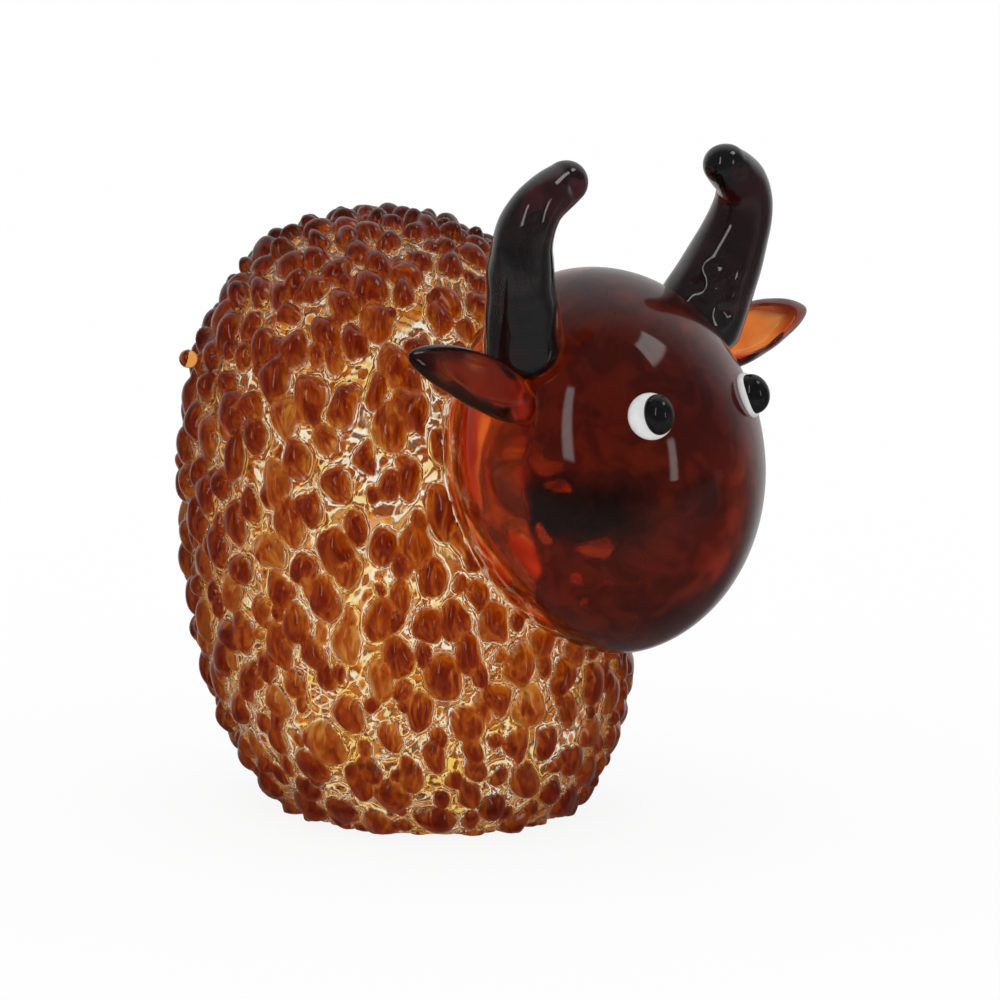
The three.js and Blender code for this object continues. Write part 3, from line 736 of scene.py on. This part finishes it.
# Horns
# Two tapering rods of near-black glass, melted onto the temples, bowed outwards and hooked in and forward
# at the tip. A little haze, a diffuse part of the glass, paints a faint sheen on them, and they are burgundy
# where they are thin.
HORN_ROOT = (82.5, 38.5)
HORN_ROOT_DEPTH = 3 * mm
HORN_BASE_DIAMETERS = {"left": 14.6 * mm, "right": 12.4 * mm}
HORN_TIP_DIAMETER = 6 * mm
HORN_BASE_ROUND = 5 * mm
HORN_REACH = np.array([(4.9, -4.4, 15.8), (3.6, -5.8, 20.8), (-1.2, -6.7, 24)]) * mm
HORN_ROWS, HORN_COLUMNS, HORN_TIP_ROWS = 100, 48, 14
HORN_SEED, CURVE_STEPS, RING_START = 8, 600, (0.3, 1.0, 0.2)
HORN_WAVE, HORN_WAVE_LENGTH = 0.14 * mm, 6 * mm
HORN_DENT_RADIUS, HORN_DENT_DEPTH = 1.1 * mm, 0.55 * mm
HORN_DENTS = {
    "left": ((0.33, -40), (0.3, -75), (0.22, -58), (0.24, -20), (0.4, -62), (1.0, -30)),
    "right": ((0.97, -10),),
}
SIDES = {"left": np.array([1, 1, 1]), "right": np.array([-1, 1, 1])}
# The transmission short of 1 leaves a faint diffuse haze: a painted sheen.
HORN_TINT, HORN_DENSITY, HORN_SHEEN_TRANSMISSION = (0.56, 0.03, 0.18), 900, 0.988
HORN_DARK, HORN_LIGHT = (0.28, 0.28, 0.3), (0.9, 0.72, 0.76)
HORN_FINENESS, HORN_CORD_EDGE = 110, (0.48, 0.7)


def curve_through(knots, shares):
    """A smooth curve through knots at shares of its length: Catmull-Rom pieces timed by each chord's root."""
    ends = np.concatenate([[2 * knots[0] - knots[1]], knots, [2 * knots[-1] - knots[-2]]])
    time = np.concatenate([[0], np.cumsum(np.sqrt(np.linalg.norm(np.diff(ends, axis=0), axis=1)))])
    fine = np.linspace(time[1], time[-2], CURVE_STEPS)
    piece = np.clip(np.searchsorted(time, fine, side="right") - 1, 1, len(knots) - 1)

    def between(a, b, first, second):
        part = ((fine - time[piece + a]) / (time[piece + b] - time[piece + a]))[:, None]
        return first + part * (second - first)

    p = [ends[piece + k] for k in (-1, 0, 1, 2)]
    a = [between(k - 1, k, p[k], p[k + 1]) for k in range(3)]
    b = [between(k - 1, k + 1, a[k], a[k + 1]) for k in range(2)]
    line = between(0, 1, b[0], b[1])
    run = np.concatenate([[0], np.cumsum(np.linalg.norm(np.diff(line, axis=0), axis=1))])
    return np.stack([np.interp(shares, run / run[-1], line[:, k]) for k in range(3)], 1)


def rod(spine, radius, columns):
    """Rings square to a spine, carried along it without twist: rows of points on circles of each radius."""
    along = unit(np.gradient(spine, axis=0))
    first = unit(np.cross(along, RING_START))
    second = np.cross(along, first)
    angle = np.linspace(0, 2 * math.pi, columns, endpoint=False)[None, :, None]
    around = np.cos(angle) * first[:, None] + np.sin(angle) * second[:, None]
    return spine[:, None] + np.asarray(radius)[:, None, None] * around


def ring_faces(rows, columns):
    """Faces of rows of rings, with a point before the first ring and one after the last to close the ends."""
    ring = 1 + np.arange(rows * columns).reshape(rows, columns)
    onward = np.roll(ring, -1, axis=1)
    walls = np.stack([ring[:-1], onward[:-1], onward[1:], ring[1:]], -1).reshape(-1, 4)
    start = np.stack([np.zeros(columns, int), onward[0], ring[0]], -1)
    end = np.stack([ring[-1], onward[-1], np.full(columns, rows * columns + 1)], -1)
    return walls.tolist() + start.tolist() + end.tolist()


def closed_rings(rings, first, last):
    """The points of rows of rings with the two points that close their ends."""
    return np.concatenate([[first], rings.reshape(-1, 3), [last]])


def horn_glass():
    """Near-black glass with a faint haze that paints a sheen, burgundy where it is thin, with a few cords of
    smoke.
    """
    material, tree, shader = new_glass("near-black horn glass", HORN_TINT, HORN_DENSITY)
    cords = drift(tree, HORN_FINENESS, HORN_DARK, HORN_LIGHT, *HORN_CORD_EDGE)
    tree.links.new(cords, shader.inputs["Base Color"])
    # A little less than full transmission leaves a faint diffuse haze, a painted sheen.
    shader.inputs["Transmission Weight"].default_value = HORN_SHEEN_TRANSMISSION
    glaze(shader)
    return material


horn_black = horn_glass()
horn_draws = np.random.default_rng(HORN_SEED)
# Each is a rod on a curved spine with a rounded root and a round cap, a little wavy, with a few small dents.
for name, mirror in SIDES.items():
    horn_foot = head_point((facing(*HORN_ROOT) * mirror)[None], 0.0)[0]
    reach = HORN_REACH * mirror
    inside = horn_foot - HORN_ROOT_DEPTH * unit(reach[0])
    knots = np.concatenate([[inside, horn_foot], horn_foot + reach])
    shares = np.linspace(0, 1, HORN_ROWS)
    spine = curve_through(knots, shares)
    length = np.linalg.norm(np.diff(spine, axis=0), axis=1).sum()
    round_left = np.clip(1 - shares * length / HORN_BASE_ROUND, 0, 1)
    radius = np.interp(shares, (0, 1), (HORN_BASE_DIAMETERS[name], HORN_TIP_DIAMETER)) / 2
    radius = radius * np.sqrt(1 - round_left**2)
    tip_way = unit(spine[-1] - spine[-2])
    tip = spine[-1] + tip_way * radius[-1]
    cap = np.linspace(0, math.pi / 2, HORN_TIP_ROWS + 1, endpoint=False)[1:]
    spine = np.concatenate([spine, spine[-1] + radius[-1] * np.sin(cap)[:, None] * tip_way])
    radius = np.concatenate([radius, radius[-1] * np.cos(cap)])
    rings = rod(spine, radius, HORN_COLUMNS)[1:]
    bulge = HORN_WAVE * waves(rings.reshape(-1, 3), HORN_WAVE_LENGTH, horn_draws).reshape(rings.shape[:2])
    rings += bulge[..., None] * (rings - spine[1:, None]) / HORN_TIP_DIAMETER
    for dent_share, dent_turn in HORN_DENTS[name]:
        row = int(dent_share * (HORN_ROWS - 1))
        aim, along_horn = facing(dent_turn, 0), spine[row + 1] - spine[row - 1]
        way_out = unit(aim - along_horn * (aim @ along_horn) / (along_horn @ along_horn))
        dent = spine[row] + radius[row] * way_out
        depth = HORN_DENT_DEPTH * np.exp(-(((rings - dent) ** 2).sum(-1)) / HORN_DENT_RADIUS**2)
        rings -= depth[..., None] * way_out
    horn_points = closed_rings(rings, inside, tip)
    horn = new_piece(f"{name}_horn_glass", horn_points, ring_faces(len(rings), HORN_COLUMNS), horn_black)
    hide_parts(f"{name}_horn")

# Ears
# Two leaves of honey-brown glass, pinched flat while hot and pressed hollow on the front, with a thick rim.
# They are melted onto the sides of the head under the horns and droop a little.
EAR_ROOTS = {"left": (76, 31), "right": (76, 21.5)}
EAR_ROOT_DEPTH = 3 * mm
EAR_LENGTH, EAR_WIDTH, EAR_THICKNESS = 27.2 * mm, 8.2 * mm, 4.4 * mm
EAR_BELLY_SHARE = 0.4
EAR_FULLNESSES = {"left": 0.56, "right": 0.5}
EAR_SWEEP, EAR_ROLL = 4, 18
EAR_LIFTS = {"left": 19, "right": 31}
EAR_DROOP = 3.6 * mm
EAR_DISHES = {"left": 0.64, "right": 0.2}
EAR_DISH_MIDDLE, EAR_DISH_SHARE, EAR_DISH_WIDTH, EAR_DISH_FLAT = 0.5, 0.36, 0.8, 0.74
EAR_RIDGE_DARKENING = 0.3
EAR_WAVE, EAR_WAVE_LENGTH = 0.12 * mm, 6 * mm
EAR_FOLD, EAR_FOLD_EDGE, EAR_FOLD_TWIST = 0.45 * mm, (0.35, 0.1), 24
EAR_ROWS, EAR_COLUMNS, EAR_SEED = 100, 80, 3
EAR_HONEYS = {
    "left": dict(tint=(0.85, 0.37, 0.0), density=1250),
    "right": dict(tint=(0.85, 0.55, 0.2), density=800, roughness=0.3),
}

ear_draws = np.random.default_rng(EAR_SEED)
# Each is a row of ovals along a drooping line, as large as sin(pi * share^power)^fullness, with the front
# pressed in over an oval dish and a twisted fold near the root.
for name, mirror in SIDES.items():
    ear_foot = head_point((facing(*EAR_ROOTS[name]) * mirror)[None], -EAR_ROOT_DEPTH)[0]
    out = facing(90 + EAR_SWEEP, EAR_LIFTS[name])
    front = unit(np.cross(out, (0, 0, 1)))
    rim = np.cross(front, out)
    roll = math.radians(EAR_ROLL)
    front, rim = math.cos(roll) * front + math.sin(roll) * rim, math.cos(roll) * rim - math.sin(roll) * front
    share = (1 - np.cos(np.linspace(0, math.pi, EAR_ROWS + 2)[1:-1, None])) / 2
    power = math.log(0.5) / math.log(EAR_BELLY_SHARE)
    swell = np.sin(math.pi * share**power) ** EAR_FULLNESSES[name]
    angle = np.linspace(0, 2 * math.pi, EAR_COLUMNS, endpoint=False)[None]
    along_dish = (share - EAR_DISH_MIDDLE) / EAR_DISH_SHARE
    from_dish = np.hypot(along_dish, np.sin(angle) / EAR_DISH_WIDTH)
    hollow = eased(from_dish, 1.0, EAR_DISH_FLAT) * (np.cos(angle) > 0)
    fold = eased(share, *EAR_FOLD_EDGE) * np.sin(2 * angle + EAR_FOLD_TWIST * share)
    dished = EAR_THICKNESS / 2 * np.cos(angle) * (1 - 2 * EAR_DISHES[name] * hollow)
    thick = swell * (dished + EAR_FOLD * fold)
    wide = swell * EAR_WIDTH / 2 * np.sin(angle)
    middle_line = share * EAR_LENGTH * out - share**2 * EAR_DROOP * np.array([0, 0, 1])
    local = middle_line[:, None] + thick[..., None] * front + wide[..., None] * rim
    bulge = EAR_WAVE * waves(local.reshape(-1, 3), EAR_WAVE_LENGTH, ear_draws).reshape(local.shape[:2])
    rings = ear_foot + (local + (bulge * swell)[..., None] * front) * mirror
    ear_tip = ear_foot + (EAR_LENGTH * out - (0, 0, EAR_DROOP)) * mirror
    # The leaf goes over to smoke towards the tip, and its upper edge goes dark a little nearer the root.
    smoky = share + EAR_RIDGE_DARKENING * np.clip(np.sin(angle), 0, 1)
    if mirror[0] > 0:
        rings, smoky = rings[:, ::-1], smoky[:, ::-1]
    ear_points = closed_rings(rings, ear_foot, ear_tip)
    along = np.concatenate([[0], smoky.ravel(), [1]])
    ear_faces = ring_faces(EAR_ROWS, EAR_COLUMNS)
    ear_honey = honey_glass(f"{name} ear honey glass", **EAR_HONEYS[name])
    ear = new_piece(f"{name}_ear_glass", ear_points, ear_faces, ear_honey, along=along)
    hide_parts(f"{name}_ear")

# Eyes
# A thick dot of opaque white glass on each side of the brow, with an oval dome of black glass pressed on it,
# a little towards the nose.
EYE_TURN, PUPIL_TURN = 29, 27
EYE_PITCHES = {"left": 21.5, "right": 20}
WHITE_DIAMETER, WHITE_THICKNESS = 6.5 * mm, 1.6 * mm
PUPIL_WIDTH, PUPIL_LENGTH, PUPIL_HEIGHT, PUPIL_SEAT = 4.5 * mm, 5.6 * mm, 2.4 * mm, 0.9 * mm
EYE_CELLS, EYE_FINENESS = 28, 500
WHITE_SHADES, WHITE_ROUGHNESS = ((0.74, 0.74, 0.75), (0.82, 0.82, 0.83)), 0.2
PUPIL_SHADES, PUPIL_ROUGHNESS = ((0.004, 0.004, 0.004), (0.01, 0.01, 0.01)), 0.04


def dot_points(look, grow, half):
    """A ball squashed to half-sizes across, upright and outwards, set on the head, grown by grow."""
    axis = unit(look / HEAD_HALF)
    across = unit(np.cross((0, 0, 1), axis))
    axes = np.stack([across, np.cross(axis, across), axis])
    return head_point(look[None], grow)[0] + (eye_ball * half) @ axes


def opaque_glass(name, dark, light, roughness):
    """Glossy opaque glass with a faint drift between two shades."""
    material, tree, shader = new_material(name)
    tree.links.new(drift(tree, EYE_FINENESS, dark, light), shader.inputs["Base Color"])
    shader.inputs["Roughness"].default_value = roughness
    return material


eye_ball, eye_faces = cube_ball(EYE_CELLS)
eye_white = opaque_glass("opaque white glass", *WHITE_SHADES, WHITE_ROUGHNESS)
pupil_black = opaque_glass("opaque black glass", *PUPIL_SHADES, PUPIL_ROUGHNESS)
for name, mirror in SIDES.items():
    eye_look = facing(EYE_TURN, EYE_PITCHES[name]) * mirror
    white_points = dot_points(eye_look, 0.0, (WHITE_DIAMETER / 2, WHITE_DIAMETER / 2, WHITE_THICKNESS))
    white = new_piece(f"{name}_eye_white_dot", white_points, eye_faces, eye_white)
    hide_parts(f"{name}_eye_white")
    pupil_look = facing(PUPIL_TURN, EYE_PITCHES[name]) * mirror
    pupil_points = dot_points(pupil_look, PUPIL_SEAT, (PUPIL_WIDTH / 2, PUPIL_LENGTH / 2, PUPIL_HEIGHT))
    pupil = new_piece(f"{name}_pupil_dome", pupil_points, eye_faces, pupil_black)
    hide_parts(f"{name}_pupil")
